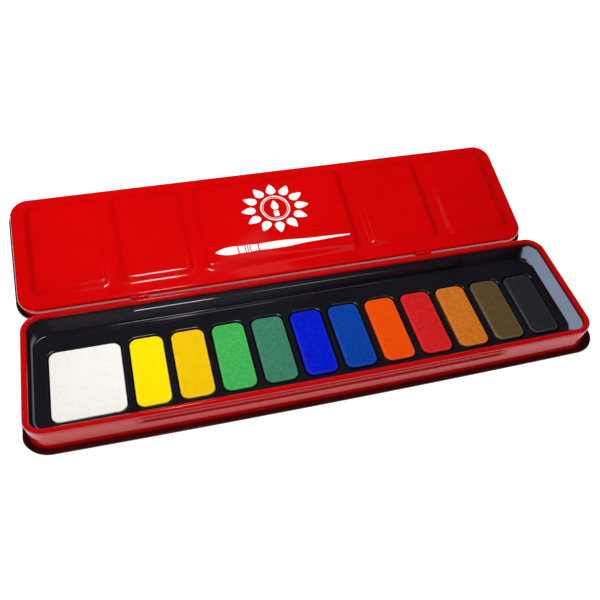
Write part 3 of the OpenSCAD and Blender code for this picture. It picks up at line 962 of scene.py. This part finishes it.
def lid_print():
    """A ring of twelve paint drops round a brush head, over a resting brush."""
    builder = Builder()

    def place(points):
        return builder.add([(u, LID_HALF_Y - v, -PANEL_H - INK_T) for u, v in points])

    def polygon(points):
        builder.faces.append(list(place(points)))

    def brush_part(stations):
        """A shape symmetric about the resting brush's line, from (u, half width)."""
        polygon([(BRUSH_U + u, BRUSH_V + h) for u, h in stations]
                + [(BRUSH_U + u, BRUSH_V - h) for u, h in stations[::-1]])

    for k in range(12):
        polygon(drop(2 * math.pi * k / 12 + math.pi / 2))
    for outer, inner in ((6.3, 5.75), (5.3, 5.1)):
        builder.strip(place(circle(outer)), place(circle(inner)))

    # leaf-shaped brush head in the middle
    leaf = [(1.75 * math.sin(math.pi * min(1, t ** 0.75)) ** 0.9 * (1 - 0.25 * t), -0.9 + 4.9 * t)
            for t in (k / 32 for k in range(33))]
    polygon([(RING_U + x, RING_V + y) for x, y in leaf]
            + [(RING_U - x, RING_V + y) for x, y in leaf[::-1][1:-1]])
    for (upper, v_upper), (lower, v_lower) in HEAD_FERRULE:
        polygon([(RING_U - upper, RING_V + v_upper), (RING_U + upper, RING_V + v_upper),
                 (RING_U + lower, RING_V + v_lower), (RING_U - lower, RING_V + v_lower)])

    # resting brush: bristles, ferrule and tapered handle
    brush_part([(t * 9.0, 1.9 * math.sin(math.pi * min(1.0, 0.02 + t) ** 0.8 * 0.62))
                for t in np.linspace(0, 1, 18)])
    for part in FERRULE:
        brush_part(part)
    brush_part([(17.9 + t * 38.9,
                 1.42 + 0.42 * math.sin(math.pi * min(t / 0.5, 1)) - 1.15 * t ** 1.3)
                for t in np.linspace(0, 1, 26)])

    ob = builder.mesh("lid_print", INK, LID_TO_OPEN, recalc=False)
    # every face looks out of the plate, away from the cover
    out = Vector(LID_TO_OPEN[:3, :3] @ np.array([0, 0, -1.0]))
    bm = bmesh.new()
    bm.from_mesh(ob.data)
    bmesh.ops.triangulate(bm, faces=[f for f in bm.faces if len(f.verts) > 4])
    bm.normal_update()
    bmesh.ops.reverse_faces(bm, faces=[f for f in bm.faces if f.normal.dot(out) < 0])
    bm.to_mesh(ob.data)
    bm.free()
    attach(ob, "lid")
    ob.data.polygons.foreach_set("use_smooth", np.zeros(len(ob.data.polygons), bool))
    film = ob.modifiers.new("ink film", "SOLIDIFY")
    film.thickness = INK_T * MM
    film.offset = -1


base_wall()
bottom_cover()
paint_tray()
for number, (node, looks) in enumerate(TABLETS.items(), start=1):
    tablet(node, *looks, seed=float(number))
lid_plate()
lid_cover()
base_hinges()
lid_hinges()
hinge_pins()
lid_print()


# ---------------------------------------------------------------- stage: floor and world
def floor():
    a = np.linspace(0, 2 * math.pi, 65)[:-1]
    builder = Builder()
    builder.loft([np.column_stack([r * np.cos(a), r * np.sin(a), np.full(64, -0.03)])
                  for r in (0.01, 150, 400, 900, 2500, 6000)])
    ob = builder.mesh("floor", pale_paper())
    if any(p.normal.z < 0 for p in ob.data.polygons):
        ob.data.flip_normals()


def studio_world():
    """White to the camera, dim grey to diffuse rays, and a dark gradient to glossy rays."""
    world = bpy.data.worlds.new("studio")
    scene.world = world
    world.use_nodes = True
    nodes, link = world.node_tree.nodes, world.node_tree.links.new
    nodes.clear()
    output = nodes.new("ShaderNodeOutputWorld")
    rays = nodes.new("ShaderNodeLightPath")

    def background(color, strength):
        node = nodes.new("ShaderNodeBackground")
        node.inputs["Color"].default_value = color
        node.inputs["Strength"].default_value = strength
        return node

    def choose(ray, otherwise, chosen):
        node = nodes.new("ShaderNodeMixShader")
        link(rays.outputs[ray], node.inputs[0])
        link(otherwise.outputs[0], node.inputs[1])
        link(chosen.outputs[0], node.inputs[2])
        return node

    direction = nodes.new("ShaderNodeTexCoord")
    split = nodes.new("ShaderNodeSeparateXYZ")
    link(direction.outputs["Generated"], split.inputs[0])
    gradient = nodes.new("ShaderNodeValToRGB")
    link(split.outputs["Z"], gradient.inputs["Fac"])
    stops = gradient.color_ramp.elements
    stops[0].position, stops[0].color = 0.0, (0.10, 0.10, 0.115, 1)
    stops[1].position, stops[1].color = 1.0, (0.012, 0.012, 0.014, 1)
    stops.new(0.16).color = (0.09, 0.095, 0.11, 1)
    stops.new(0.45).color = (0.012, 0.012, 0.014, 1)
    glossy = background((0, 0, 0, 1), strength=1.0)
    link(gradient.outputs["Color"], glossy.inputs["Color"])
    diffuse = background((0.97, 0.985, 1.0, 1), strength=0.30)
    seen = background((1.0, 1.0, 1.0, 1), strength=1.1)
    unseen = choose("Is Glossy Ray", diffuse, glossy)
    link(choose("Is Camera Ray", unseen, seen).outputs[0], output.inputs["Surface"])


floor()
scene = bpy.context.scene
scene.view_settings.view_transform = "Standard"
scene.view_settings.look = "None"
studio_world()


# ---------------------------------------------------------------- stage: lights, in metres
def area(name, at, aim, size, radiance, color, card=False, only=None):
    """Area light. A card shows only in reflections, any other light only in diffuse shading."""
    light = bpy.data.lights.new(name, "AREA")
    light.shape = "RECTANGLE"
    light.size, light.size_y = size
    light.energy = radiance * math.pi * size[0] * size[1]
    light.color = color
    ob = bpy.data.objects.new(name, light)
    scene.collection.objects.link(ob)
    ob.location = at
    ob.rotation_mode = "QUATERNION"
    ob.rotation_quaternion = (Vector(aim) - Vector(at)).to_track_quat("-Z", "Y")
    ob.visible_camera = False
    ob.visible_diffuse = not card
    ob.visible_glossy = card
    if only:
        ob.light_linking.receiver_collection = only


# pieces that two brighter cards are turned on alone
bright = bpy.data.collections.new("glossy inside")
for name in ("stamped_tray", "umber_cake", "black_cake"):
    bright.objects.link(bpy.data.objects[name])

area("key_soft", at=(-0.038, 0.045, 0.315), aim=(-0.038, 0.030, 0), size=(0.16, 0.16),
     radiance=12.4, color=(1, 0.995, 0.985))
area("key_card", at=(-0.056, 0.060, 0.330), aim=(-0.05, 0.045, 0), size=(0.042, 0.042),
     radiance=17.0, color=(1, 0.99, 0.98), card=True)
area("long_card", at=(0.085, 0.064, 0.340), aim=(0.03, 0.035, 0), size=(0.26, 0.045),
     radiance=0.22, color=(0.97, 0.985, 1.0), card=True)
area("front_fill", at=(-0.03, -0.36, 0.09), aim=(0.0, -0.026, 0.006), size=(0.34, 0.14),
     radiance=0.6, color=(1, 0.99, 0.98))
area("tray_card", at=(-0.056, 0.060, 0.330), aim=(-0.05, 0.045, 0), size=(0.075, 0.075),
     radiance=22.0, color=(1, 0.99, 0.98), card=True, only=bright)
area("tray_long", at=(0.055, 0.062, 0.340), aim=(0.03, 0.035, 0), size=(0.26, 0.045),
     radiance=4.5, color=(0.97, 0.98, 1.0), card=True, only=bright)


# ---------------------------------------------------------------- stage: camera, in metres
lens = bpy.data.cameras.new("camera")
lens.sensor_fit = "HORIZONTAL"
lens.sensor_width = 36.0
lens.lens = 38.725869
lens.shift_x, lens.shift_y = -0.0252336, 0.1162445
lens.clip_start, lens.clip_end = 0.01, 20
camera = bpy.data.objects.new("camera", lens)
scene.collection.objects.link(camera)
camera.location = (-0.0520840, -0.1438782, 0.1974017)
camera.rotation_mode = "XYZ"
camera.rotation_euler = (0.6121520, -0.0639978, -0.2653677)
scene.camera = camera
